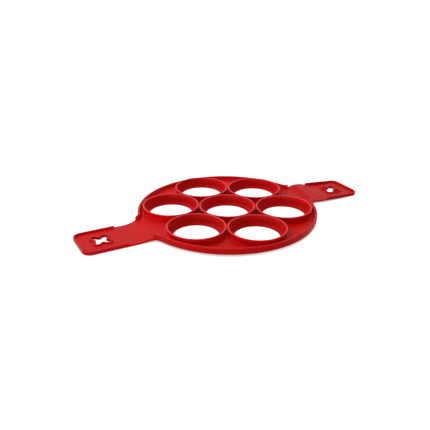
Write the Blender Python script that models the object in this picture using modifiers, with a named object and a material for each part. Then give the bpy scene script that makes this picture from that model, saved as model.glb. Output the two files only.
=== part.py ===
"""Silicone omelette mould: a round plate with seven forming rings and a flat handle on each side.

The real mould is one silicone moulding. It is modelled as its regions, each a closed solid: the plate,
the two arcs of the raised rim, the seven rings, and on each side a neck that bends and a stiffer grip.

Frame, in metres: the origin is on the table under the middle of the centre ring, +X runs along the
right handle and +Z points up. The lower faces of the rings and of the grips stand at z = 0.
"""

import math

import bmesh
import bpy
from mathutils import Matrix, Vector

# Space left between two regions that touch in the real moulding
CLEARANCE = 0.0003

# Forming rings: six round one in the middle, each touching its neighbours at the top edge
RING_HEIGHT = 0.0124
RING_BORE_RADIUS = 0.03275
RING_WALL = 0.0021
RING_EDGE_ROUND = 0.0005
RING_OUTER_DRAFT = 0.0016
RING_INNER_DRAFT = 0.0015
RING_FOOT_CHAMFER = 0.0005

# Sealing lip that runs inwards at the foot of each ring and lies on the pan
LIP_WIDTH = 0.0045
LIP_EDGE_THICKNESS = 0.0013
LIP_ROOT_THICKNESS = 0.0022

# Plate between the rings, held clear of the pan by them
PLATE_UNDERSIDE = 0.0022
PLATE_THICKNESS = 0.0028

# Raised rim that keeps batter on the plate; it follows the outline a little way round each handle's root
RIM_MARGIN = 0.0024
RIM_WIDTH = 0.0048
RIM_HEIGHT = 0.0046
RIM_INNER_SLOPE = 0.0018
RIM_OUTER_DRAFT = 0.0003
RIM_TOP_ROUND = 0.0009
RIM_FOOT_ROUND = 0.0006
RIM_END_TURN = math.radians(41)

# Handles: a flare out of the disc, a neck that slopes down and bends, and a grip with a bead round its edge
HANDLE_WIDTH = 0.0522
FLARE_RADIUS = 0.0140
NECK_START = 0.0036
NECK_LENGTH = 0.0130
NECK_THICKNESS = 0.0019
GRIP_LENGTH = 0.0623
GRIP_CORNER_RADIUS = 0.0100
BEAD_WIDTH = 0.0022
BEAD_HEIGHT = 0.0022
BEAD_START = 0.0114

# Cross-shaped hole through each grip, with a raised border round it
CROSS_FROM_END = 0.0271
CROSS_REACH = 0.0122
CROSS_ARM_WIDTH = 0.0070
CROSS_HALF_ANGLE = math.radians(45)
CROSS_FILLET = 0.0025
CROSS_BORDER_WIDTH = 0.0023
CROSS_BORDER_HEIGHT = 0.0015
CROSS_BORDER_FILLET = 0.0010

# How far cutters run past what they cut
OVERRUN = 0.0050
MERGE_DISTANCE = 0.00001

# Facets
RING_STEPS = 48
RIM_STEPS = 100
CORNER_STEPS = 6
TIP_STEPS = 6
FLARE_STEPS = 6
DROOP_STEPS = 10
NOSE_STEPS = 8
EDGE_ROUND_STEPS = 3

# Sizes that follow from the ones above
RING_OUTER_RADIUS = RING_BORE_RADIUS + RING_WALL
RING_PITCH = 2 * RING_OUTER_RADIUS + CLEARANCE
RING_SEAT_RADIUS = RING_OUTER_RADIUS - RING_OUTER_DRAFT
PLATE_TOP = PLATE_UNDERSIDE + PLATE_THICKNESS
RIM_INNER_RADIUS = RING_PITCH + RING_SEAT_RADIUS + RIM_MARGIN
RIM_OUTER_RADIUS = RIM_INNER_RADIUS + RIM_WIDTH
PLATE_EDGE_RADIUS = RIM_INNER_RADIUS - CLEARANCE
ROOT_HINGE_X = RIM_OUTER_RADIUS + NECK_START
GRIP_HINGE_X = ROOT_HINGE_X + NECK_LENGTH
GRIP_END_X = GRIP_HINGE_X + GRIP_LENGTH
HANDLE_HALF_WIDTH = HANDLE_WIDTH / 2

RING_NAMES = ("right", "back_right", "back_left", "left", "front_left", "front_right")


def arc(centre, radius, start, end, steps):
    """Points on an arc, both ends included; angles in radians."""
    angles = [start + (end - start) * step / steps for step in range(steps + 1)]
    return [(centre[0] + radius * math.cos(a), centre[1] + radius * math.sin(a)) for a in angles]


def mirrored(points):
    """The same points on the other side of the X axis, in the other order."""
    return [(x, -y) for x, y in reversed(points)]


def both_ways(quarter):
    """A line that ends on the Y axis, carried on by its mirror image to the left."""
    return quarter + [(-x, y) for x, y in reversed(quarter[:-1])]


def make_collection(name):
    collection = bpy.data.collections.new(name)
    bpy.context.scene.collection.children.link(collection)
    return collection


def silicone(name):
    """Red, slightly satin silicone rubber."""
    material = bpy.data.materials.new(name)
    material.use_nodes = True
    shader = material.node_tree.nodes["Principled BSDF"]
    shader.inputs["Base Color"].default_value = (0.53, 0.02, 0.025, 1)
    shader.inputs["Roughness"].default_value = 0.45
    shader.inputs["Metallic"].default_value = 0
    material.diffuse_color = (0.53, 0.02, 0.025, 1)
    return material


def evaluated_mesh(source, name):
    """The mesh of an object with its modifiers applied and its loose caps welded."""
    depsgraph = bpy.context.evaluated_depsgraph_get()
    mesh = bpy.data.meshes.new_from_object(source.evaluated_get(depsgraph))
    mesh.name = name
    shape = bmesh.new()
    shape.from_mesh(mesh)
    bmesh.ops.remove_doubles(shape, verts=shape.verts, dist=MERGE_DISTANCE)
    shape.to_mesh(mesh)
    shape.free()
    return mesh


def poly_curve(name, outlines, closed=True):
    """A curve object with straight runs through the given points."""
    curve = bpy.data.curves.new(name, "CURVE")
    curve.dimensions = "3D"
    curve.twist_mode = "Z_UP"
    for outline in outlines:
        spline = curve.splines.new("POLY")
        spline.points.add(len(outline) - 1)
        for point, (x, y) in zip(spline.points, outline):
            point.co = (x, y, 0, 1)
        spline.use_cyclic_u = closed
    line = bpy.data.objects.new(name, curve)
    cutters.objects.link(line)
    return line


def slab(name, outlines, low, high, upright=False):
    """A solid between two levels with the given closed outlines: the first is its edge, the rest holes.

    An upright slab's outlines are read as (x, z), and its two levels lie along Y.
    """
    flat = poly_curve(name + "_outline", outlines)
    flat.data.dimensions = "2D"
    flat.data.fill_mode = "BOTH"
    flat.data.extrude = (high - low) / 2
    mesh = evaluated_mesh(flat, name)
    mesh.transform(Matrix.Translation((0, 0, (low + high) / 2)))
    if upright:
        mesh.transform(Matrix.Rotation(math.pi / 2, 4, "X"))
    bpy.data.curves.remove(flat.data)
    return hidden(name, mesh)


def swept(name, path, section):
    """A closed (outward, height) section carried along a path that runs anticlockwise, its ends closed."""
    line = poly_curve(name + "_path", [path], closed=False)
    rib = poly_curve(name + "_section", [section])
    line.data.bevel_mode = "OBJECT"
    line.data.bevel_object = rib
    line.data.use_fill_caps = True
    mesh = evaluated_mesh(line, name)
    bpy.data.curves.remove(line.data)
    bpy.data.curves.remove(rib.data)
    return mesh


def hidden(name, mesh):
    """A cutter: an object that is only used to shape others."""
    cutter = bpy.data.objects.new(name, mesh)
    cutters.objects.link(cutter)
    cutter.hide_render = True
    cutter.display_type = "WIRE"
    return cutter


def turned(name, profile, steps):
    """A full turn about Z of a closed (radius, height) profile that runs down its outer side."""
    mesh = bpy.data.meshes.new(name + "_profile")
    edges = [(index, (index + 1) % len(profile)) for index in range(len(profile))]
    mesh.from_pydata([(radius, 0, height) for radius, height in profile], edges, [])
    blank = bpy.data.objects.new(name + "_profile", mesh)
    cutters.objects.link(blank)
    screw = blank.modifiers.new("Turn", "SCREW")
    screw.angle = 2 * math.pi
    screw.steps = steps
    screw.render_steps = steps
    screw.use_merge_vertices = True
    screw.merge_threshold = MERGE_DISTANCE
    solid = evaluated_mesh(blank, name)
    bpy.data.objects.remove(blank)
    bpy.data.meshes.remove(mesh)
    return solid


def combined(target, operation, *others):
    """The target's mesh after a Boolean with each of the others in turn."""
    for other in others:
        boolean = target.modifiers.new(other.name, "BOOLEAN")
        boolean.operation = operation
        boolean.solver = "EXACT"
        boolean.object = other
    bpy.context.view_layer.update()
    return evaluated_mesh(target, target.name + "_shape")


def add_part(name, mesh, location=(0, 0, 0), turn=0, parent=None):
    """A visible part, shaded smooth across its rounds and sharp at its edges."""
    if not mesh.materials:
        mesh.materials.append(silicone(name + "_silicone"))
        mesh.shade_smooth()
        mesh.set_sharp_from_angle(angle=math.radians(35))
    part = bpy.data.objects.new(name, mesh)
    parts.objects.link(part)
    part.location = location
    part.rotation_euler = (0, 0, turn)
    if parent is not None:
        bpy.context.view_layer.update()
        part.parent = parent
        part.matrix_parent_inverse = parent.matrix_world.inverted()
    return part


def droop(x):
    """Share of the way from the plate's level down to the table, at a distance from the middle."""
    way = (abs(x) - PLATE_EDGE_RADIUS) / (GRIP_HINGE_X - PLATE_EDGE_RADIUS)
    way = min(max(way, 0), 1)
    return way * way * (3 - 2 * way)


def underside(x):
    return PLATE_UNDERSIDE * (1 - droop(x))


def sheet_thickness(x):
    return PLATE_THICKNESS + (NECK_THICKNESS - PLATE_THICKNESS) * droop(x)


def topside(x):
    return underside(x) + sheet_thickness(x)


def hinge_point(x):
    """Middle of the sheet, where it bends."""
    return Vector((x, 0, underside(x) + sheet_thickness(x) / 2))


def seat_profile(x):
    """The hollow end, in (x, z) and from top to bottom, that faces the round nose of the next region."""
    hinge = hinge_point(x)
    nose_radius = sheet_thickness(x) / 2
    seat_radius = nose_radius + CLEARANCE
    lip_angle = math.asin(nose_radius / seat_radius)
    return arc((hinge.x, hinge.z), seat_radius, math.pi - lip_angle, math.pi + lip_angle, NOSE_STEPS)


def nose_profile(x):
    """The round end, in (x, z) and from bottom to top, that turns in the seat."""
    hinge = hinge_point(x)
    nose_radius = sheet_thickness(x) / 2
    return arc((hinge.x, hinge.z), nose_radius, 1.5 * math.pi, 0.5 * math.pi, NOSE_STEPS)


def stations(start, end):
    """Places along the sheet at which its level is worked out, ends left out."""
    return [start + (end - start) * step / DROOP_STEPS for step in range(1, DROOP_STEPS)]


def flare_centre():
    """Middle of the arc that joins the right handle's far edge to the disc's outline."""
    y = HANDLE_HALF_WIDTH + FLARE_RADIUS
    reach = RIM_OUTER_RADIUS + FLARE_RADIUS
    return (math.sqrt(reach * reach - y * y), y)


def half_width(x):
    """Half the handle's width, which grows along that arc towards the disc."""
    run = max(flare_centre()[0] - x, 0)
    return HANDLE_HALF_WIDTH + FLARE_RADIUS - math.sqrt(FLARE_RADIUS * FLARE_RADIUS - run * run)


def flare_edge(start, end):
    """Points (x, y) on the handle's edge between two distances from the middle."""
    places = [start + (end - start) * step / FLARE_STEPS for step in range(FLARE_STEPS + 1)]
    return [(x, half_width(x)) for x in places]


def disc_line(inset, turn):
    """Quarter of the disc's outline, set in by the inset, from a turn into the flare up to the Y axis."""
    centre = flare_centre()
    disc_angle = math.atan2(centre[1], centre[0])
    disc_end = math.pi + disc_angle
    flare = arc(centre, FLARE_RADIUS + inset, disc_end + turn, disc_end, CORNER_STEPS)
    return flare + arc((0, 0), RIM_OUTER_RADIUS - inset, disc_angle, math.pi / 2, RIM_STEPS // 4)[1:]


def ring_centres():
    """Name and centre of each ring: one in the middle, six round it."""
    centres = {"centre": (0, 0)}
    for index, name in enumerate(RING_NAMES):
        angle = math.radians(60 * index - 30)
        centres[name] = (RING_PITCH * math.cos(angle), RING_PITCH * math.sin(angle))
    return centres


def ring_mesh():
    """A ring: outer wall, rounded top edge, drafted inner wall, sloping lip and flat foot."""
    top_outer = RING_OUTER_RADIUS - RING_EDGE_ROUND
    top_inner = RING_BORE_RADIUS + RING_EDGE_ROUND
    shoulder = RING_HEIGHT - RING_EDGE_ROUND
    wall_foot = RING_BORE_RADIUS - RING_INNER_DRAFT
    lip_radius = wall_foot - LIP_WIDTH
    profile = [(RING_SEAT_RADIUS, PLATE_TOP + CLEARANCE)]
    profile += [(RING_SEAT_RADIUS, RING_FOOT_CHAMFER)]
    profile += [(RING_SEAT_RADIUS - RING_FOOT_CHAMFER, 0)]
    profile += [(lip_radius, 0)]
    profile += [(lip_radius, LIP_EDGE_THICKNESS)]
    profile += [(wall_foot - RING_EDGE_ROUND, LIP_ROOT_THICKNESS)]
    profile += [(wall_foot, LIP_ROOT_THICKNESS + RING_EDGE_ROUND)]
    profile += arc((top_inner, shoulder), RING_EDGE_ROUND, math.pi, math.pi / 2, EDGE_ROUND_STEPS - 1)
    profile += arc((top_outer, shoulder), RING_EDGE_ROUND, math.pi / 2, 0, EDGE_ROUND_STEPS - 1)
    return turned("ring", profile, RING_STEPS)


def rim_section():
    """Section of the rim, as (distance out from its foot, height): sloping inside, upright outside."""
    top = PLATE_TOP + RIM_HEIGHT
    top_inner = RIM_INNER_SLOPE + RIM_TOP_ROUND
    top_outer = RIM_WIDTH - RIM_TOP_ROUND
    foot_outer = RIM_WIDTH - RIM_OUTER_DRAFT - RIM_FOOT_ROUND
    foot_centre = (foot_outer, PLATE_UNDERSIDE + RIM_FOOT_ROUND)
    section = arc((top_inner, top - RIM_TOP_ROUND), RIM_TOP_ROUND, math.radians(150), math.pi / 2, 2)
    section += arc((top_outer, top - RIM_TOP_ROUND), RIM_TOP_ROUND, math.pi / 2, 0, EDGE_ROUND_STEPS)
    section += arc(foot_centre, RIM_FOOT_ROUND, 0, -math.pi / 2, EDGE_ROUND_STEPS - 1)
    return section + [(0, PLATE_UNDERSIDE), (0, PLATE_TOP)]


def make_rim():
    """Back and front arcs of the rim, which curl outwards into the handle roots and end square there."""
    mesh = swept("rim", both_ways(disc_line(RIM_WIDTH, RIM_END_TURN)), rim_section())
    add_part("rim_back", mesh)
    add_part("rim_front", mesh, turn=math.pi)


def make_rings():
    mesh = ring_mesh()
    for name, (x, y) in ring_centres().items():
        add_part("ring_" + name, mesh, location=(x, y, 0))


def make_plate():
    """Plate with a round hole for each ring, and a root for each handle that slopes down to it."""
    root_turn = RIM_END_TURN + CLEARANCE / FLARE_RADIUS
    rim_end_x = disc_line(0, root_turn)[0][0]
    beside_rim = disc_line(RIM_WIDTH + CLEARANCE, root_turn)
    back_half = both_ways(flare_edge(ROOT_HINGE_X, rim_end_x) + beside_rim)
    edge = back_half + mirrored(back_half)
    hole_radius = RING_SEAT_RADIUS + CLEARANCE
    holes = [arc(centre, hole_radius, 0, 2 * math.pi, RING_STEPS)[:-1] for centre in ring_centres().values()]
    plan = slab("plate_plan", [edge] + holes, -OVERRUN, RING_HEIGHT + OVERRUN)

    right_end = seat_profile(ROOT_HINGE_X)
    left_end = [(-x, z) for x, z in reversed(right_end)]
    rise = stations(PLATE_EDGE_RADIUS, right_end[0][0])
    right_places = [PLATE_EDGE_RADIUS] + rise
    left_places = [-x for x in reversed(right_places)]
    top = [(x, topside(x)) for x in left_places + right_places]
    bottom = [(x, underside(x)) for x in reversed(left_places + right_places)]
    outline = top + right_end + bottom + left_end
    side = slab("plate_side", [outline], -RIM_OUTER_RADIUS, RIM_OUTER_RADIUS, upright=True)
    add_part("base_plate", combined(plan, "INTERSECT", side))


def neck_mesh():
    """Right neck: the thin sheet from the plate's root to the grip."""
    edge = flare_edge(ROOT_HINGE_X - NECK_START, GRIP_HINGE_X)
    plan = slab("neck_plan", [edge + mirrored(edge)], -OVERRUN, RING_HEIGHT)
    nose = nose_profile(ROOT_HINGE_X)
    seat = seat_profile(GRIP_HINGE_X)
    places = stations(ROOT_HINGE_X, seat[0][0])
    top = [(x, topside(x)) for x in places]
    bottom = [(x, underside(x)) for x in reversed(places)]
    outline = nose + top + seat + bottom
    side = slab("neck_side", [outline], -RIM_OUTER_RADIUS, RIM_OUTER_RADIUS, upright=True)
    return combined(plan, "INTERSECT", side)


def rounded_end(start_edge, inset):
    """Outline of the grip, set in by the inset, with two rounded corners at its far end."""
    corner_centre = (GRIP_END_X - GRIP_CORNER_RADIUS, HANDLE_HALF_WIDTH - GRIP_CORNER_RADIUS)
    corner = arc(corner_centre, GRIP_CORNER_RADIUS - inset, math.pi / 2, 0, CORNER_STEPS)
    upper = start_edge + corner
    return upper + mirrored(upper)


def cross_outline(offset, fillet):
    """Cross with round-ended arms, grown outwards by an offset, with a fillet between neighbouring arms."""
    centre_x = GRIP_END_X - CROSS_FROM_END
    half = CROSS_ARM_WIDTH / 2 + offset
    tip = CROSS_REACH - CROSS_ARM_WIDTH / 2
    full_turn = 2 * math.pi
    first_two = [CROSS_HALF_ANGLE, math.pi - CROSS_HALF_ANGLE]
    arms = first_two + [arm + math.pi for arm in first_two]
    points = []
    for arm, following in zip(arms, arms[1:] + [arms[0] + full_turn]):
        tip_centre = (centre_x + tip * math.cos(arm), tip * math.sin(arm))
        points += arc(tip_centre, half, arm - math.pi / 2, arm + math.pi / 2, TIP_STEPS)
        middle = (arm + following) / 2
        distance = (half + fillet) / math.sin((following - arm) / 2)
        inner_corner = (centre_x + distance * math.cos(middle), distance * math.sin(middle))
        points += arc(inner_corner, fillet, arm + 1.5 * math.pi, following + math.pi / 2, TIP_STEPS // 2)
    return points


def grip_mesh():
    """Right grip: a flat tab with a bead round three sides and a bordered cross-shaped hole."""
    flare_end = max(flare_centre()[0], GRIP_HINGE_X)
    edge = rounded_end(flare_edge(GRIP_HINGE_X - NECK_THICKNESS, flare_end), 0)
    blank = slab("grip_plan", [edge], -OVERRUN, RING_HEIGHT)
    tab_top = NECK_THICKNESS
    bead_top = NECK_THICKNESS + BEAD_HEIGHT
    bead_x = GRIP_HINGE_X + BEAD_START
    beyond = GRIP_END_X + OVERRUN
    nose = nose_profile(GRIP_HINGE_X)
    side_outline = nose + [(bead_x, tab_top), (bead_x, bead_top), (beyond, bead_top), (beyond, 0)]
    side = slab("grip_side", [side_outline], -HANDLE_WIDTH, HANDLE_WIDTH, upright=True)
    pocket_start = [(GRIP_HINGE_X - OVERRUN, HANDLE_HALF_WIDTH - BEAD_WIDTH)]
    pocket = slab("grip_pocket", [rounded_end(pocket_start, BEAD_WIDTH)], tab_top, bead_top + OVERRUN)
    border_top = tab_top + CROSS_BORDER_HEIGHT
    border_edge = cross_outline(CROSS_BORDER_WIDTH, CROSS_BORDER_FILLET)
    border = slab("cross_border", [border_edge], tab_top / 2, border_top)
    hole = slab("cross_hole", [cross_outline(0, CROSS_FILLET)], -OVERRUN, bead_top + OVERRUN)
    tab = hidden("grip_tab", combined(blank, "INTERSECT", side))
    hollow = hidden("grip_hollow", combined(tab, "DIFFERENCE", pocket))
    bordered = hidden("grip_bordered", combined(hollow, "UNION", border))
    return combined(bordered, "DIFFERENCE", hole)


def make_handles():
    """Both handles: each neck turns about the root of the plate, and each grip about its neck."""
    root_hinge = hinge_point(ROOT_HINGE_X)
    grip_hinge = hinge_point(GRIP_HINGE_X)
    neck = neck_mesh()
    grip = grip_mesh()
    neck.transform(Matrix.Translation(-root_hinge))
    grip.transform(Matrix.Translation(-grip_hinge))
    for side, turn in (("right", 0), ("left", math.pi)):
        around = Matrix.Rotation(turn, 3, "Z")
        neck_part = add_part("neck_" + side, neck, location=around @ root_hinge, turn=turn)
        add_part("grip_" + side, grip, location=around @ grip_hinge, turn=turn, parent=neck_part)


for old in list(bpy.data.objects):
    bpy.data.objects.remove(old)

parts = make_collection("omelette_mould")
cutters = make_collection("cutters")

make_plate()
make_rim()
make_rings()
make_handles()

cutters.hide_render = True
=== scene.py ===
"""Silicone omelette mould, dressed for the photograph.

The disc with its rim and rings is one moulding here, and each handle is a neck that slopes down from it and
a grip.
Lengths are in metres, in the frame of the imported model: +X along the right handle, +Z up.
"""

import math

import bmesh
import bpy
from mathutils import Matrix, Vector


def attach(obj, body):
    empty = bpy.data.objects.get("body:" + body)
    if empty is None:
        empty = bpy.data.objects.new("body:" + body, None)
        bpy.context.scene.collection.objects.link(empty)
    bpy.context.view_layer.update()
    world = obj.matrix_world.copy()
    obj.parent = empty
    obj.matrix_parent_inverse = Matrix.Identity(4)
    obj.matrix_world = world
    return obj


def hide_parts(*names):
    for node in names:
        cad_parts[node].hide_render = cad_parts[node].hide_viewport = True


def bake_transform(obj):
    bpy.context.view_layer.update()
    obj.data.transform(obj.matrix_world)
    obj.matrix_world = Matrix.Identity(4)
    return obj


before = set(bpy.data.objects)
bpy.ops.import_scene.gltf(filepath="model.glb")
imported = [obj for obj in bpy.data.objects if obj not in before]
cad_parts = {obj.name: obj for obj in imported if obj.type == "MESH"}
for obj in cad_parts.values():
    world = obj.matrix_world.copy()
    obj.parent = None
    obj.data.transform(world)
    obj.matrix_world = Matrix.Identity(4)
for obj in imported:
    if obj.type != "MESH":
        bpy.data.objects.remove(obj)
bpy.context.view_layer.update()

MM = 0.001

# Forming rings, as they touch at their top edges
RING_HEIGHT = 12.4 * MM
RING_PITCH = 70.0 * MM
RING_TOP_RADIUS = 35.0 * MM
RING_BORE_RADIUS = 32.7 * MM
RING_SEAT_RADIUS = 33.25 * MM
RING_WALL_FOOT_RADIUS = 31.2 * MM
RING_TOP_ROUND = 0.75 * MM
RING_FOOT_FILLET = 1.1 * MM
RINGS_ROUND_THE_MIDDLE = 6
FIRST_RING_DEGREES = 30
LIP_RADIUS = 26.75 * MM
LIP_EDGE_THICKNESS = 1.3 * MM
LIP_ROOT_THICKNESS = 2.3 * MM
LIP_ROUND = 0.4 * MM
LIP_FILLET = 0.9 * MM

# Plate, and the rim that follows its edge a little way round each handle's root
PLATE_UNDERSIDE = 2.2 * MM
PLATE_TOP = 5.0 * MM
SLOPE_START_X = 105.35 * MM
DISC_RADIUS = 110.44 * MM
RIM_WIDTH = 4.8 * MM
RIM_SLOPE = 1.8 * MM
RIM_TOP = 9.6 * MM
RIM_ROUND = 1.1 * MM
RIM_FOOT_ROUND = 0.7 * MM
RIM_DRAFT = 0.3 * MM
RIM_FILLET = 1.3 * MM
RIM_END_TURN = math.radians(41)

# How far a surface sinks into the one that it runs out on
SINK = 0.02 * MM

# Joins inside the disc: the rings and the rim reach into the plate beyond their fillets,
# and the plate stops short of the rings' seats and of the rim's outer foot
RING_FLANGE = 0.3 * MM
RIM_FLANGE = 0.8 * MM
HOLE_ALLOWANCE = 0.6 * MM
EDGE_ALLOWANCE = 0.2 * MM

# Handles
ROOT_HINGE_X = 114.05 * MM
GRIP_HINGE_X = 127.05 * MM
GRIP_END_X = 189.34 * MM
HANDLE_HALF_WIDTH = 26.1 * MM
FLARE_RADIUS = 14.0 * MM
NECK_THICKNESS = 1.9 * MM
SHEET_EDGE_ROUND = 0.45 * MM
NECK_ROOT_ROUND = 0.02 * MM
NECK_ROOT_DEPTH = 2.1 * MM
GRIP_CORNER_RADIUS = 10.0 * MM
GRIP_STRAIGHT_END_X = GRIP_END_X - GRIP_CORNER_RADIUS
BEAD_START_X = 138.45 * MM
BEAD_WIDTH = 2.2 * MM
BEAD_TOP = 4.1 * MM
BEAD_ROUND = 0.65 * MM
BEAD_MIDDLE_Y = HANDLE_HALF_WIDTH - BEAD_WIDTH / 2
SHEET_STEP_IN = 0.05 * MM
CROSS_X = 162.25 * MM
CROSS_REACH = 12.2 * MM
CROSS_ARM_WIDTH = 7.0 * MM
CROSS_FILLET = 2.5 * MM
CROSS_BORDER_WIDTH = 2.3 * MM
CROSS_BORDER_TOP = 3.4 * MM
CROSS_BORDER_ROUND = 0.45 * MM

# The right handle doesn't lie flat in the photograph: its rise above the left one's level,
# at its middle and as what its far edge has on top of that, at distances from the mould's middle
RIGHT_RISE = (
    (107, 0),
    (112, 1.5),
    (117, 3.6),
    (122, 4.3),
    (129, 4.1),
    (138, 2.8),
    (150, 1.5),
    (165, 0.4),
    (182, 0),
)
RIGHT_TWIST = (
    (107, 0),
    (112, 1.0),
    (117, 2.0),
    (122, 2.4),
    (129, 2.2),
    (138, 1.2),
    (148, 0.3),
    (175, 0),
)

# Attribute for a painted highlight, a paler red in the base colour: 1 at the ring tops, and this much at the
# rim's crest
PAINTED_HIGHLIGHT_ATTRIBUTE = "painted_highlight"
RIM_HIGHLIGHT_SHARE = 0.12

# Facets
RING_STEPS = 96
RIM_STEPS = 150
FLARE_STEPS = 16
ROOT_EDGE_STEPS = 10
ROOT_SLOPE_STEPS = 20
SHEET_COLUMNS = 24
SHEET_ROUND_STEPS = 3
NECK_ROOT_STEPS = 3
NECK_STEPS = 26
NECK_ROUND_GROWTH_STEPS = 8
GRIP_START_STEPS = 14
GRIP_RUN_STEPS = 24
GRIP_CORNER_STEPS = 8
BEAD_CORNER_STEPS = 12
CROSS_TIP_STEPS = 14
CROSS_FILLET_STEPS = 8
ROUND_STEPS = 5
CROSS_BORDER_ROUND_STEPS = 3
WELD_DISTANCE = 0.001 * MM
SHARP_ANGLE = math.radians(50)

# Sockets of a node that mixes two colours
MIX_SHARE, MIX_FROM, MIX_TO, MIXED = 0, 6, 7, 2

# The paper lies a hair under the mould and reaches past the picture on every side
PAPER_LEVEL = -0.05 * MM
PAPER_SIZE = 30


def linear(hex_colour):
    """An sRGB hex value as the linear RGBA that shaders take."""
    channels = [int(hex_colour[place : place + 2], 16) / 255 for place in (1, 3, 5)]
    return tuple(c / 12.92 if c <= 0.04045 else ((c + 0.055) / 1.055) ** 2.4 for c in channels) + (1.0,)


def add_node(tree, kind, inputs=None, **settings):
    """Adds a node, sets it up, and gives its inputs a value or links them to another node's output."""
    made = tree.nodes.new(kind)
    for name, value in settings.items():
        setattr(made, name, value)
    for place, value in (inputs or {}).items():
        if isinstance(value, bpy.types.NodeSocket):
            tree.links.new(value, made.inputs[place])
        else:
            made.inputs[place].default_value = value
    return made


def empty_tree(owner):
    """The node tree of a material or a world, with nothing in it."""
    owner.use_nodes = True
    owner.node_tree.nodes.clear()
    return owner.node_tree


def put_in_scene(name, data):
    """A new object with the given data, linked to the scene."""
    made = bpy.data.objects.new(name, data)
    bpy.context.scene.collection.objects.link(made)
    return made


def stations(start, end, steps):
    """Evenly spaced values from start to end, both included."""
    return [start + (end - start) * step / steps for step in range(steps + 1)]


def arc(centre, radius, start, end, steps):
    """Points on an arc, both ends included; angles in radians."""
    angles = stations(start, end, steps)
    return [(centre[0] + radius * math.cos(a), centre[1] + radius * math.sin(a)) for a in angles]


def mirrored(points):
    """The same points on the other side of the X axis, in the other order."""
    return [(x, -y) for x, y in reversed(points)]


def both_ways(quarter):
    """A line that ends on the Y axis, carried on by its mirror image to the left."""
    return quarter + [(-x, y) for x, y in reversed(quarter[:-1])]


def rounded(corners):
    """A closed outline from corners (x, y, radius), each rounded off by its radius."""
    points = []
    for index, (x, y, radius) in enumerate(corners):
        if not radius:
            points.append((x, y))
            continue
        corner = Vector((x, y))
        back = (Vector(corners[index - 1][:2]) - corner).normalized()
        ahead = (Vector(corners[(index + 1) % len(corners)][:2]) - corner).normalized()
        half = math.acos(max(-1, min(1, back.dot(ahead)))) / 2
        centre = corner + (back + ahead).normalized() * (radius / math.sin(half))
        start = corner + back * (radius / math.tan(half)) - centre
        end = corner + ahead * (radius / math.tan(half)) - centre
        first = math.atan2(start.y, start.x)
        sweep = math.remainder(math.atan2(end.y, end.x) - first, 2 * math.pi)
        points += arc(centre, radius, first, first + sweep, ROUND_STEPS)
    return points


def cross_outline(offset):
    """Cross with round-ended arms and rounded inner corners, grown outwards by an offset."""
    half = CROSS_ARM_WIDTH / 2 + offset
    fillet = CROSS_FILLET - offset
    tip = CROSS_REACH - CROSS_ARM_WIDTH / 2
    distance = (half + fillet) / math.sin(math.radians(45))
    points = []
    for arm in [math.radians(45 + 90 * index) for index in range(4)]:
        tip_centre = (CROSS_X + tip * math.cos(arm), tip * math.sin(arm))
        points += arc(tip_centre, half, arm - math.pi / 2, arm + math.pi / 2, CROSS_TIP_STEPS)
        middle = arm + math.radians(45)
        inner_corner = (CROSS_X + distance * math.cos(middle), distance * math.sin(middle))
        points += arc(inner_corner, fillet, arm + 1.5 * math.pi, arm + math.pi, CROSS_FILLET_STEPS)
    return points


def outline_curve(name, outlines, closed=True, thickness=0):
    """A curve object through the given points: a path or section, or a filled slab if it has a thickness."""
    curve = bpy.data.curves.new(name, "CURVE")
    curve.dimensions = "2D" if thickness else "3D"
    if thickness:
        curve.fill_mode = "BOTH"
        curve.extrude = thickness / 2
    for outline in outlines:
        spline = curve.splines.new("POLY")
        spline.points.add(len(outline) - 1)
        for point, (x, y) in zip(spline.points, outline):
            point.co = (x, y, 0, 1)
        spline.use_cyclic_u = closed
    return put_in_scene(name, curve)


def as_mesh(source, name):
    """A new object with the evaluated mesh of another, welded and facing out; the source is removed."""
    depsgraph = bpy.context.evaluated_depsgraph_get()
    mesh = bpy.data.meshes.new_from_object(source.evaluated_get(depsgraph))
    mesh.name = name
    shape = bmesh.new()
    shape.from_mesh(mesh)
    bmesh.ops.remove_doubles(shape, verts=shape.verts, dist=WELD_DISTANCE)
    bmesh.ops.recalc_face_normals(shape, faces=shape.faces)
    shape.to_mesh(mesh)
    shape.free()
    bpy.data.objects.remove(source)
    return put_in_scene(name, mesh)


def slab(name, outlines, low, high, upright=False):
    """A solid between two levels: the first outline is its edge, the rest are holes.

    An upright slab's outlines are read as (x, z), and its two levels lie along Y.
    """
    made = as_mesh(outline_curve(name + "_outline", outlines, thickness=high - low), name)
    made.data.transform(Matrix.Translation((0, 0, (low + high) / 2)))
    if upright:
        made.data.transform(Matrix.Rotation(math.pi / 2, 4, "X"))
    return made


def loft(name, loops):
    """A closed solid through loops of (x, y, z) that all have as many points."""
    shape = bmesh.new()
    rows = [[shape.verts.new(point) for point in loop] for loop in loops]
    for row, following in zip(rows, rows[1:]):
        for place in range(len(row)):
            after = (place + 1) % len(row)
            shape.faces.new((row[place], row[after], following[after], following[place]))
    shape.faces.new(rows[0])
    shape.faces.new(rows[-1])
    bmesh.ops.recalc_face_normals(shape, faces=shape.faces)
    mesh = bpy.data.meshes.new(name)
    shape.to_mesh(mesh)
    shape.free()
    return put_in_scene(name, mesh)


def combined(name, target, *steps, overlapping=False):
    """A new object: the target after Booleans (operation, other); the objects that went in are removed."""
    for operation, other in steps:
        boolean = target.modifiers.new(other.name, "BOOLEAN")
        boolean.operation = operation
        boolean.solver = "EXACT"
        boolean.use_self = overlapping
        boolean.object = other
    made = as_mesh(target, name)
    for _, other in steps:
        bpy.data.objects.remove(other)
    return made


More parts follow.
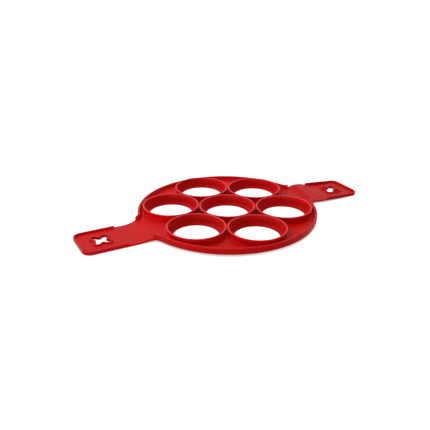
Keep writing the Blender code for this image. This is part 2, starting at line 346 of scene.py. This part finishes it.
def finished(piece, material):
    """Drops faces that two solids left twice, shades rounds smooth and faces flat, and adds the material."""
    mesh = piece.data
    mesh.validate()
    mesh.materials.clear()
    mesh.materials.append(material)
    mesh.shade_smooth()
    mesh.set_sharp_from_angle(angle=SHARP_ANGLE)
    weighted = piece.modifiers.new("Flat faces stay flat", "WEIGHTED_NORMAL")
    weighted.keep_sharp = True
    weighted.weight = 90
    depsgraph = bpy.context.evaluated_depsgraph_get()
    piece.data = bpy.data.meshes.new_from_object(piece.evaluated_get(depsgraph))
    piece.modifiers.clear()
    return piece


def new_tree(name, inputs):
    """An empty geometry tree with named inputs; gives the tree, its input node and its output node."""
    tree = bpy.data.node_groups.new(name, "GeometryNodeTree")
    for label, socket_type in inputs.items():
        tree.interface.new_socket(label, in_out="INPUT", socket_type=socket_type)
    tree.interface.new_socket("Geometry", in_out="OUTPUT", socket_type="NodeSocketGeometry")
    return tree, add_node(tree, "NodeGroupInput"), add_node(tree, "NodeGroupOutput")


def end_tree(tree, geometry, material, output):
    """Realize Instances and Set Material, then out."""
    real = add_node(tree, "GeometryNodeRealizeInstances", {"Geometry": geometry})
    painted = add_node(tree, "GeometryNodeSetMaterial", {"Geometry": real.outputs[0], "Material": material})
    tree.links.new(painted.outputs[0], output.inputs[0])


def grown(name, tree, values):
    """A plain mesh object from a tree and the values of its named inputs."""
    blank = put_in_scene(name + "_seed", bpy.data.meshes.new(name + "_seed"))
    modifier = blank.modifiers.new(name, "NODES")
    modifier.node_group = tree
    for item in tree.interface.items_tree:
        if item.in_out == "INPUT":
            modifier[item.identifier] = values[item.name]
    made = as_mesh(blank, name)
    for value in values.values():
        if isinstance(value, bpy.types.Object):
            bpy.data.objects.remove(value)
    return made


def swept(tree, path, section, caps):
    """The section carried along the path; +X in the section is outwards and -Y is up."""
    level = add_node(tree, "GeometryNodeSetCurveNormal", {"Curve": path}, mode="Z_UP")
    return add_node(
        tree,
        "GeometryNodeCurveToMesh",
        {"Curve": level.outputs["Curve"], "Profile Curve": section, "Fill Caps": caps},
    )


def ring_tree():
    """A ring turned from its section, with one copy in the middle and the others round it."""
    tree, given, out = new_tree(
        "rings_in_a_flower",
        {
            "Section": "NodeSocketObject",
            "Seat radius": "NodeSocketFloat",
            "Pitch": "NodeSocketFloat",
            "Rings round the middle": "NodeSocketInt",
            "Steps": "NodeSocketInt",
            "Material": "NodeSocketMaterial",
        },
    )
    section = add_node(tree, "GeometryNodeObjectInfo", {"Object": given.outputs["Section"]})
    circle = add_node(
        tree,
        "GeometryNodeCurvePrimitiveCircle",
        {"Resolution": given.outputs["Steps"], "Radius": given.outputs["Seat radius"]},
    )
    ring = swept(tree, circle.outputs["Curve"], section.outputs["Geometry"], False)
    flower = add_node(
        tree,
        "GeometryNodeMeshCircle",
        {"Vertices": given.outputs["Rings round the middle"], "Radius": given.outputs["Pitch"]},
    )
    turned = add_node(
        tree,
        "GeometryNodeTransform",
        {"Geometry": flower.outputs["Mesh"], "Rotation": (0, 0, math.radians(FIRST_RING_DEGREES))},
    )
    middle = add_node(tree, "GeometryNodeMeshLine", {"Count": 1})
    places = add_node(tree, "GeometryNodeJoinGeometry")
    tree.links.new(turned.outputs["Geometry"], places.inputs[0])
    tree.links.new(middle.outputs["Mesh"], places.inputs[0])
    copies = add_node(
        tree,
        "GeometryNodeInstanceOnPoints",
        {"Points": places.outputs[0], "Instance": ring.outputs["Mesh"]},
    )
    end_tree(tree, copies.outputs["Instances"], given.outputs["Material"], out)
    return tree


def rim_tree():
    """The rim's section carried along the back of the plate's edge, and the same turned half way round."""
    tree, given, out = new_tree(
        "rim_in_two_arcs",
        {
            "Path": "NodeSocketObject",
            "Section": "NodeSocketObject",
            "Material": "NodeSocketMaterial",
        },
    )
    path = add_node(tree, "GeometryNodeObjectInfo", {"Object": given.outputs["Path"]})
    section = add_node(tree, "GeometryNodeObjectInfo", {"Object": given.outputs["Section"]})
    back = swept(tree, path.outputs["Geometry"], section.outputs["Geometry"], True)
    front = add_node(
        tree,
        "GeometryNodeTransform",
        {"Geometry": back.outputs["Mesh"], "Rotation": (0, 0, math.pi)},
    )
    both = add_node(tree, "GeometryNodeJoinGeometry")
    tree.links.new(back.outputs["Mesh"], both.inputs[0])
    tree.links.new(front.outputs["Geometry"], both.inputs[0])
    end_tree(tree, both.outputs[0], given.outputs["Material"], out)
    return tree


def bead_tree():
    """A bead of rounded rectangular section that stands along a path."""
    tree, given, out = new_tree(
        "bead_along_an_edge",
        {
            "Path": "NodeSocketObject",
            "Width": "NodeSocketFloat",
            "Height": "NodeSocketFloat",
            "Edge radius": "NodeSocketFloat",
            "Round steps": "NodeSocketInt",
            "Material": "NodeSocketMaterial",
        },
    )
    path = add_node(tree, "GeometryNodeObjectInfo", {"Object": given.outputs["Path"]})
    box = add_node(
        tree,
        "GeometryNodeCurvePrimitiveQuadrilateral",
        {"Width": given.outputs["Width"], "Height": given.outputs["Height"]},
    )
    section = add_node(
        tree,
        "GeometryNodeFilletCurve",
        {
            "Curve": box.outputs["Curve"],
            "Radius": given.outputs["Edge radius"],
            "Count": given.outputs["Round steps"],
        },
        mode="POLY",
    )
    bead = swept(tree, path.outputs["Geometry"], section.outputs["Curve"], True)
    half = add_node(tree, "ShaderNodeMath", {0: given.outputs["Height"], 1: 0.5}, operation="MULTIPLY")
    up = add_node(tree, "ShaderNodeCombineXYZ", {"Z": half.outputs[0]})
    stood = add_node(
        tree,
        "GeometryNodeTransform",
        {"Geometry": bead.outputs["Mesh"], "Translation": up.outputs[0]},
    )
    end_tree(tree, stood.outputs["Geometry"], given.outputs["Material"], out)
    return tree


def seen_directly(tree):
    """An output that is 1 for whatever the camera sees, also in a mirror or through glass."""
    ray = add_node(tree, "ShaderNodeLightPath")
    mirrored_too = add_node(
        tree,
        "ShaderNodeMath",
        {0: ray.outputs["Is Camera Ray"], 1: ray.outputs["Is Glossy Ray"]},
        operation="MAXIMUM",
    )
    either = add_node(
        tree,
        "ShaderNodeMath",
        {0: mirrored_too.outputs[0], 1: ray.outputs["Is Transmission Ray"]},
        operation="MAXIMUM",
    )
    return either.outputs[0]


def moulded_silicone(name):
    """Platinum-cured silicone rubber, compression moulded in a spark-eroded tool.

    To the eye: one deep red, a soft satin sheen and no mirror, a grain that breaks up the highlight,
    and a highlight painted in paler red along the ring tops and, fainter, along the rim's crest.
    """
    material = bpy.data.materials.new(name)
    tree = empty_tree(material)
    place = add_node(tree, "ShaderNodeTexCoord").outputs["Object"]
    # The pigment is stirred in, so its depth drifts a little over about 40 mm
    drift = add_node(
        tree,
        "ShaderNodeTexNoise",
        {"Vector": place, "Scale": 1 / (40 * MM), "Detail": 2.0, "Roughness": 0.5},
    )
    colour = add_node(tree, "ShaderNodeValToRGB", {"Fac": drift.outputs["Fac"]})
    for stop, position, pigment in zip(colour.color_ramp.elements, (0.3, 0.7), ("#CC0404", "#D40606")):
        stop.position = position
        stop.color = linear(pigment)
    # Painted highlight: the base colour turns a paler red along the ring tops and, fainter, along the rim's
    # crest
    painted_highlight_mask = add_node(tree, "ShaderNodeAttribute", attribute_name=PAINTED_HIGHLIGHT_ATTRIBUTE)
    painted_highlight_colour = add_node(
        tree,
        "ShaderNodeMix",
        {MIX_SHARE: painted_highlight_mask.outputs["Fac"], MIX_FROM: colour.outputs["Color"], MIX_TO: linear("#EA444A")},
        data_type="RGBA",
    )
    # Release agent wears off unevenly, so the sheen varies over about 6 mm
    bloom = add_node(
        tree,
        "ShaderNodeTexNoise",
        {"Vector": place, "Scale": 1 / (6 * MM), "Detail": 3.0, "Roughness": 0.6},
    )
    sheen = add_node(
        tree,
        "ShaderNodeMapRange",
        {"Value": bloom.outputs["Fac"], "From Min": 0.3, "From Max": 0.7, "To Min": 0.42, "To Max": 0.5},
    )
    # Spark-eroded grain is about 0.1 mm; it is drawn at 0.6 mm so that it shows
    grain = add_node(
        tree,
        "ShaderNodeTexNoise",
        {"Vector": place, "Scale": 1 / (0.6 * MM), "Detail": 2.0, "Roughness": 0.55},
    )
    bump = add_node(
        tree,
        "ShaderNodeBump",
        {"Height": grain.outputs["Fac"], "Strength": 0.25, "Distance": 0.05 * MM},
    )
    shader = add_node(
        tree,
        "ShaderNodeBsdfPrincipled",
        {
            "Base Color": painted_highlight_colour.outputs[MIXED],
            "Roughness": sheen.outputs["Result"],
            "Normal": bump.outputs["Normal"],
            "IOR": 1.41,
            "Specular IOR Level": 0.14,
            "Subsurface Weight": 0.05,
            "Subsurface Radius": (1.0, 0.15, 0.12),
            "Subsurface Scale": 1.5 * MM,
        },
    )
    add_node(tree, "ShaderNodeOutputMaterial", {"Surface": shader.outputs[0]})
    return material


def white_floor(name):
    """Matt white paper, seen brighter than it is lit, with a painted red-tinged shadow close under the
    mould.
    """
    material = bpy.data.materials.new(name)
    tree = empty_tree(material)
    paper = add_node(tree, "ShaderNodeBsdfDiffuse", {"Color": (0.4, 0.4, 0.4, 1)})
    # Painted shadow: where the mould closes in over the paper, its glow turns from white to a dark red
    near = add_node(tree, "ShaderNodeAmbientOcclusion", {"Distance": 3 * MM}, samples=16)
    painted_shadow_colour = add_node(
        tree,
        "ShaderNodeMix",
        {MIX_SHARE: near.outputs["AO"], MIX_FROM: linear("#581E22"), MIX_TO: (1, 1, 1, 1)},
        data_type="RGBA",
    )
    glow = add_node(
        tree,
        "ShaderNodeEmission",
        {"Color": painted_shadow_colour.outputs[MIXED], "Strength": seen_directly(tree)},
    )
    both = add_node(tree, "ShaderNodeAddShader", {0: paper.outputs[0], 1: glow.outputs[0]})
    add_node(tree, "ShaderNodeOutputMaterial", {"Surface": both.outputs[0]})
    return material


def section_object(name, corners, zero_radius=0):
    """A section given as (radius, height, rounding) corners, for the trees: out is +X and up is -Y."""
    points = [(radius - zero_radius, -height) for radius, height in rounded(corners)]
    return outline_curve(name, [points])


def ring_section():
    """A ring's wall, its sealing lip, and the flange that joins it to the plate."""
    flange = RING_SEAT_RADIUS + RING_FOOT_FILLET + RING_FLANGE
    corners = [
        (RING_TOP_RADIUS, RING_HEIGHT, RING_TOP_ROUND),
        (RING_SEAT_RADIUS, PLATE_TOP - SINK, RING_FOOT_FILLET),
        (flange, PLATE_TOP - SINK, 0),
        (flange, PLATE_UNDERSIDE + SINK, 0),
        (RING_SEAT_RADIUS, PLATE_UNDERSIDE + SINK, LIP_ROUND),
        (RING_SEAT_RADIUS, 0, LIP_ROUND),
        (LIP_RADIUS, 0, LIP_ROUND / 2),
        (LIP_RADIUS, LIP_EDGE_THICKNESS, LIP_ROUND),
        (RING_WALL_FOOT_RADIUS, LIP_ROOT_THICKNESS, LIP_FILLET),
        (RING_BORE_RADIUS, RING_HEIGHT, RING_TOP_ROUND),
    ]
    return section_object("ring_section", corners, RING_SEAT_RADIUS)


def rim_section():
    """The rim and the flange that joins it to the plate, measured outwards from the rim's inner foot."""
    flange = -RIM_FILLET - RIM_FLANGE
    corners = [
        (RIM_WIDTH, RIM_TOP, RIM_ROUND),
        (RIM_WIDTH - RIM_DRAFT, PLATE_UNDERSIDE - 3 * SINK, RIM_FOOT_ROUND),
        (0, PLATE_UNDERSIDE - 3 * SINK, 0),
        (0, PLATE_UNDERSIDE + 3 * SINK, 0),
        (flange, PLATE_UNDERSIDE + 3 * SINK, 0),
        (flange, PLATE_TOP - 2 * SINK, 0),
        (0, PLATE_TOP - SINK, RIM_FILLET),
        (RIM_SLOPE, RIM_TOP, RIM_ROUND),
    ]
    return section_object("rim_section", corners)


def ring_centres():
    """Middles of the rings: first the one in the middle, then those round it."""
    turn = 360 / RINGS_ROUND_THE_MIDDLE
    angles = [math.radians(FIRST_RING_DEGREES + turn * index) for index in range(RINGS_ROUND_THE_MIDDLE)]
    return [(0, 0)] + [(RING_PITCH * math.cos(a), RING_PITCH * math.sin(a)) for a in angles]


def flare_centre():
    """Middle of the arc that joins the right handle's far edge to the disc's outline."""
    y = HANDLE_HALF_WIDTH + FLARE_RADIUS
    reach = DISC_RADIUS + FLARE_RADIUS
    return math.sqrt(reach * reach - y * y), y


def half_width(x):
    """Half the handle's width, which grows along that arc towards the disc."""
    run = max(flare_centre()[0] - x, 0)
    return HANDLE_HALF_WIDTH + FLARE_RADIUS - math.sqrt(FLARE_RADIUS * FLARE_RADIUS - run * run)


def disc_line(inset):
    """Quarter of the disc's outline, set in by the inset, from the rim's end up to the Y axis."""
    centre = flare_centre()
    disc_angle = math.atan2(centre[1], centre[0])
    disc_end = math.pi + disc_angle
    flare = arc(centre, FLARE_RADIUS + inset, disc_end + RIM_END_TURN, disc_end, FLARE_STEPS)
    return flare + arc((0, 0), DISC_RADIUS - inset, disc_angle, math.pi / 2, RIM_STEPS // 2)[1:]


def sheet_levels(x):
    """Lower and upper face of the plate and of the sheet that slopes from it to each grip."""
    way = min(max((abs(x) - SLOPE_START_X) / (GRIP_HINGE_X - SLOPE_START_X), 0), 1)
    droop = way * way * (3 - 2 * way)
    low = PLATE_UNDERSIDE * (1 - droop)
    thickness = (PLATE_TOP - PLATE_UNDERSIDE) * (1 - droop) + NECK_THICKNESS * droop
    return low, low + thickness


def make_plate():
    """The plate with its holes and the two sloping handle roots, up to where the necks start."""
    rim_end = disc_line(0)[0]
    root = [(x, half_width(x)) for x in stations(ROOT_HINGE_X, rim_end[0], ROOT_EDGE_STEPS)]
    back_half = both_ways(root + disc_line(RIM_DRAFT + EDGE_ALLOWANCE))
    hole = RING_SEAT_RADIUS + HOLE_ALLOWANCE
    holes = [arc(centre, hole, 0, 2 * math.pi, RING_STEPS)[:-1] for centre in ring_centres()]
    plan = slab("plate_plan", [back_half + mirrored(back_half)] + holes, -RIM_TOP, RIM_TOP)
    slope = stations(SLOPE_START_X, ROOT_HINGE_X, ROOT_SLOPE_STEPS)
    places = [-x for x in reversed(slope)] + slope
    top = [(x, sheet_levels(x)[1]) for x in places]
    bottom = [(x, sheet_levels(x)[0]) for x in reversed(places)]
    side = slab("plate_side", [top + bottom], -DISC_RADIUS, DISC_RADIUS, upright=True)
    return combined("plate", plan, ("INTERSECT", side))


def settled(piece):
    """Lowers whatever stands on the sloping roots along with them."""
    for vertex in piece.data.vertices:
        low, high = sheet_levels(vertex.co.x)
        share = (vertex.co.z - PLATE_UNDERSIDE) / (PLATE_TOP - PLATE_UNDERSIDE)
        over = max(vertex.co.z - PLATE_TOP, 0)
        vertex.co.z = low + (high - low) * min(share, 1) + over
    return piece


def along(x, knots):
    """A smooth line through (distance, height) knots in millimetres, level beyond both ends."""
    x = min(max(x / MM, knots[0][0]), knots[-1][0])
    place = max(index for index in range(len(knots) - 1) if knots[index][0] <= x)
    before, start, end, after = (knots[min(max(place + step, 0), len(knots) - 1)] for step in (-1, 0, 1, 2))
    span = end[0] - start[0]
    share = (x - start[0]) / span
    slope_in = (end[1] - before[1]) / (end[0] - before[0]) * span
    slope_out = (after[1] - start[1]) / (after[0] - start[0]) * span
    if place == 0:
        slope_in = 0
    if place == len(knots) - 2:
        slope_out = 0
    height = start[1] * (1 + 2 * share) * (1 - share) ** 2 + end[1] * share**2 * (3 - 2 * share)
    return (height + slope_in * share * (1 - share) ** 2 - slope_out * share**2 * (1 - share)) * MM


def lifted(piece):
    """Raises the right handle as it stands in the photograph."""
    for vertex in piece.data.vertices:
        x, y = vertex.co.x, vertex.co.y
        if x > RIGHT_RISE[0][0] * MM:
            vertex.co.z += along(x, RIGHT_RISE) + along(x, RIGHT_TWIST) * y / HANDLE_HALF_WIDTH
    return piece


def mark_painted_highlights(disc):
    """Tells the material where to paint its highlight: on the ring tops, and fainter on the rim's crest."""
    painted_highlight_layer = disc.data.attributes.new(PAINTED_HIGHLIGHT_ATTRIBUTE, "FLOAT", "POINT")
    for place, vertex in zip(painted_highlight_layer.data, disc.data.vertices):
        ring = min(max((vertex.co.z - RING_HEIGHT) / RING_TOP_ROUND + 1, 0), 1) ** 2
        rim = min(max((vertex.co.z - RIM_TOP) / RIM_ROUND + 1, 0), 1)
        if vertex.co.z > RIM_TOP + SINK:
            rim = 0
        place.value = ring + RIM_HIGHLIGHT_SHARE * rim


def make_disc(material):
    """Plate, rings and rim as one moulding."""
    rings = grown(
        "rings",
        ring_tree(),
        {
            "Section": ring_section(),
            "Seat radius": RING_SEAT_RADIUS,
            "Pitch": RING_PITCH,
            "Rings round the middle": RINGS_ROUND_THE_MIDDLE,
            "Steps": RING_STEPS,
            "Material": material,
        },
    )
    rim = grown(
        "rim",
        rim_tree(),
        {
            "Path": outline_curve("rim_path", [both_ways(disc_line(RIM_WIDTH))], closed=False),
            "Section": rim_section(),
            "Material": material,
        },
    )
    steps = ("UNION", rings), ("UNION", settled(rim))
    disc = combined("disc_moulding", make_plate(), *steps, overlapping=True)
    mark_painted_highlights(disc)
    finished(lifted(disc), material)
    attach(disc, "mould")
    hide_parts("base_plate", "rim_front", "rim_back")
    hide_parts(*[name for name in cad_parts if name.startswith("ring_")])
    return disc


def sheet_loop(x, half, edge_round, sunk=0):
    """Section of the handle's sheet at one station: top from +Y to -Y, then the underside back."""
    low, high = sheet_levels(x)
    low, high, half = low + sunk, high - sunk, half - sunk
    flat = half - edge_round
    columns = [flat * (1 - 2 * column / SHEET_COLUMNS) for column in range(SHEET_COLUMNS + 1)]
    side = arc((flat, high - edge_round), edge_round, math.pi / 2, 0, SHEET_ROUND_STEPS)[1:]
    side += arc((flat, low + edge_round), edge_round, 0, -math.pi / 2, SHEET_ROUND_STEPS)[:-1]
    loop = [(x, y, high) for y in columns] + [(x, -y, z) for y, z in side]
    loop += [(x, y, low) for y in reversed(columns)] + [(x, y, z) for y, z in reversed(side)]
    return loop


def neck_loops():
    """Sections from just inside the disc's root, where the neck is a hair thinner, to the second bend."""
    loops = []
    for inwards in range(NECK_ROOT_STEPS, -1, -1):
        x = ROOT_HINGE_X - inwards * NECK_ROOT_DEPTH / NECK_ROOT_STEPS
        loops.append(sheet_loop(x, half_width(x), NECK_ROOT_ROUND, inwards * SINK / 2))
    for step, x in enumerate(stations(ROOT_HINGE_X, GRIP_HINGE_X, NECK_STEPS)[1:], 1):
        growth = min((step + 1) / NECK_ROUND_GROWTH_STEPS, 1)
        loops.append(sheet_loop(x, half_width(x), SHEET_EDGE_ROUND * growth))
    return loops


def grip_corner(steps):
    """The bead's middle line round the grip's far corner on the +Y side."""
    centre = (GRIP_STRAIGHT_END_X, HANDLE_HALF_WIDTH - GRIP_CORNER_RADIUS)
    return arc(centre, GRIP_CORNER_RADIUS - BEAD_WIDTH / 2, math.pi / 2, 0, steps)


def grip_loops():
    """Sections of the grip's sheet; inside the bead it is a hair thinner and set in to the bead's middle."""
    places = stations(GRIP_HINGE_X, BEAD_START_X, GRIP_START_STEPS)
    loops = [sheet_loop(x, half_width(x), SHEET_EDGE_ROUND) for x in places]
    run = stations(BEAD_START_X, GRIP_STRAIGHT_END_X, GRIP_RUN_STEPS)
    run[0] += SHEET_STEP_IN
    loops += [sheet_loop(x, BEAD_MIDDLE_Y, SHEET_EDGE_ROUND, SINK) for x in run]
    corner = grip_corner(GRIP_CORNER_STEPS)[1:]
    return loops + [sheet_loop(x, y, SHEET_EDGE_ROUND, SINK) for x, y in corner]


def make_grip(material):
    """The right grip, lying flat: a sheet with a bead round three sides and a bordered cross-shaped hole."""
    upper = [(BEAD_START_X, BEAD_MIDDLE_Y)] + grip_corner(BEAD_CORNER_STEPS)
    bead_path = list(reversed(upper + mirrored(upper)))
    tree = bead_tree()
    bead = grown(
        "grip_bead",
        tree,
        {
            "Path": outline_curve("bead_path", [bead_path], closed=False),
            "Width": BEAD_WIDTH,
            "Height": BEAD_TOP,
            "Edge radius": BEAD_ROUND,
            "Round steps": ROUND_STEPS,
            "Material": material,
        },
    )
    border_middle = cross_outline(CROSS_BORDER_WIDTH / 2)
    border = grown(
        "cross_border",
        tree,
        {
            "Path": outline_curve("cross_path", [border_middle]),
            "Width": CROSS_BORDER_WIDTH,
            "Height": CROSS_BORDER_TOP,
            "Edge radius": CROSS_BORDER_ROUND,
            "Round steps": CROSS_BORDER_ROUND_STEPS,
            "Material": material,
        },
    )
    hole = slab("cross_hole", [border_middle], -BEAD_TOP, 2 * BEAD_TOP)
    sheet = loft("grip_sheet", grip_loops())
    return combined("grip", sheet, ("DIFFERENCE", hole), ("UNION", border), ("UNION", bead))


def make_handles(material):
    """Both handles: the left one is the flat one turned half way round, and the right one is lifted."""
    neck = loft("neck", neck_loops())
    grip = make_grip(material)
    half_turn = Matrix.Rotation(math.pi, 4, "Z")
    for side, sign in (("right", 1), ("left", -1)):
        for kind, source in (("neck", neck), ("grip", grip)):
            piece = put_in_scene(side + "_" + kind + "_moulding", source.data.copy())
            if side == "left":
                piece.data.transform(half_turn)
            else:
                lifted(piece)
            finished(piece, material)
            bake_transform(piece)
            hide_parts(kind + "_" + side)
    bpy.data.objects.remove(neck)
    bpy.data.objects.remove(grip)


def make_floor():
    """A sheet of white paper."""
    bpy.ops.mesh.primitive_plane_add(size=PAPER_SIZE, location=(0, 0, PAPER_LEVEL))
    floor = bpy.context.object
    floor.name = "floor"
    floor.data.materials.append(white_floor("white_paper"))


def add_softbox(name, watts, size, place):
    """A rectangular lamp that faces the middle of the mould."""
    lamp = bpy.data.lights.new(name, "AREA")
    lamp.shape = "RECTANGLE"
    lamp.size, lamp.size_y = size
    lamp.energy = watts
    softbox = put_in_scene(name, lamp)
    softbox.location = place
    softbox.rotation_euler = (-softbox.location).to_track_quat("-Z", "Y").to_euler()


def make_light():
    """A white room, a softbox high behind the mould, and two low ones at its left, behind and in front."""
    world = bpy.data.worlds.new("studio")
    bpy.context.scene.world = world
    tree = empty_tree(world)
    soft = add_node(tree, "ShaderNodeBackground", {"Color": (1, 1, 1, 1), "Strength": 0.42})
    white = add_node(tree, "ShaderNodeBackground", {"Color": (1, 1, 1, 1), "Strength": 1.0})
    seen = add_node(
        tree,
        "ShaderNodeMixShader",
        {0: seen_directly(tree), 1: soft.outputs[0], 2: white.outputs[0]},
    )
    add_node(tree, "ShaderNodeOutputWorld", {"Surface": seen.outputs[0]})
    add_softbox("softbox", 4.3, (0.6, 0.5), (-0.34, 0.4, 0.79))
    add_softbox("left_strip", 1.3, (0.6, 0.3), (-0.95, 0.71, 0.19))
    add_softbox("front_strip", 4.1, (1.0, 0.12), (-0.98, -0.69, 0.084))


def make_camera():
    """The photograph's view: its direction, distance and lens were fitted to the rings, rim and handles."""
    azimuth, elevation, roll = math.radians(-28.70), math.radians(24.57), math.radians(0.48)
    target = Vector((-14.53, 4.82, 0)) * MM
    distance = 703.4 * MM
    back = Vector(
        (
            math.sin(azimuth) * math.cos(elevation),
            -math.cos(azimuth) * math.cos(elevation),
            math.sin(elevation),
        )
    )
    level = Vector((math.cos(azimuth), math.sin(azimuth), 0))
    upright = back.cross(level)
    right = level * math.cos(roll) + upright * math.sin(roll)
    up = upright * math.cos(roll) - level * math.sin(roll)
    lens = bpy.data.cameras.new("camera")
    lens.sensor_width = 36
    lens.lens = 47.386
    lens.clip_start = 0.01
    lens.clip_end = 100
    camera = put_in_scene("camera", lens)
    turn = Matrix((right, up, back)).transposed().to_4x4()
    camera.matrix_world = Matrix.Translation(target + back * distance) @ turn
    bpy.context.scene.camera = camera


silicone = moulded_silicone("red_moulded_silicone")
make_disc(silicone)
make_handles(silicone)
make_floor()
make_light()
make_camera()
bpy.context.scene.view_settings.view_transform = "Standard"
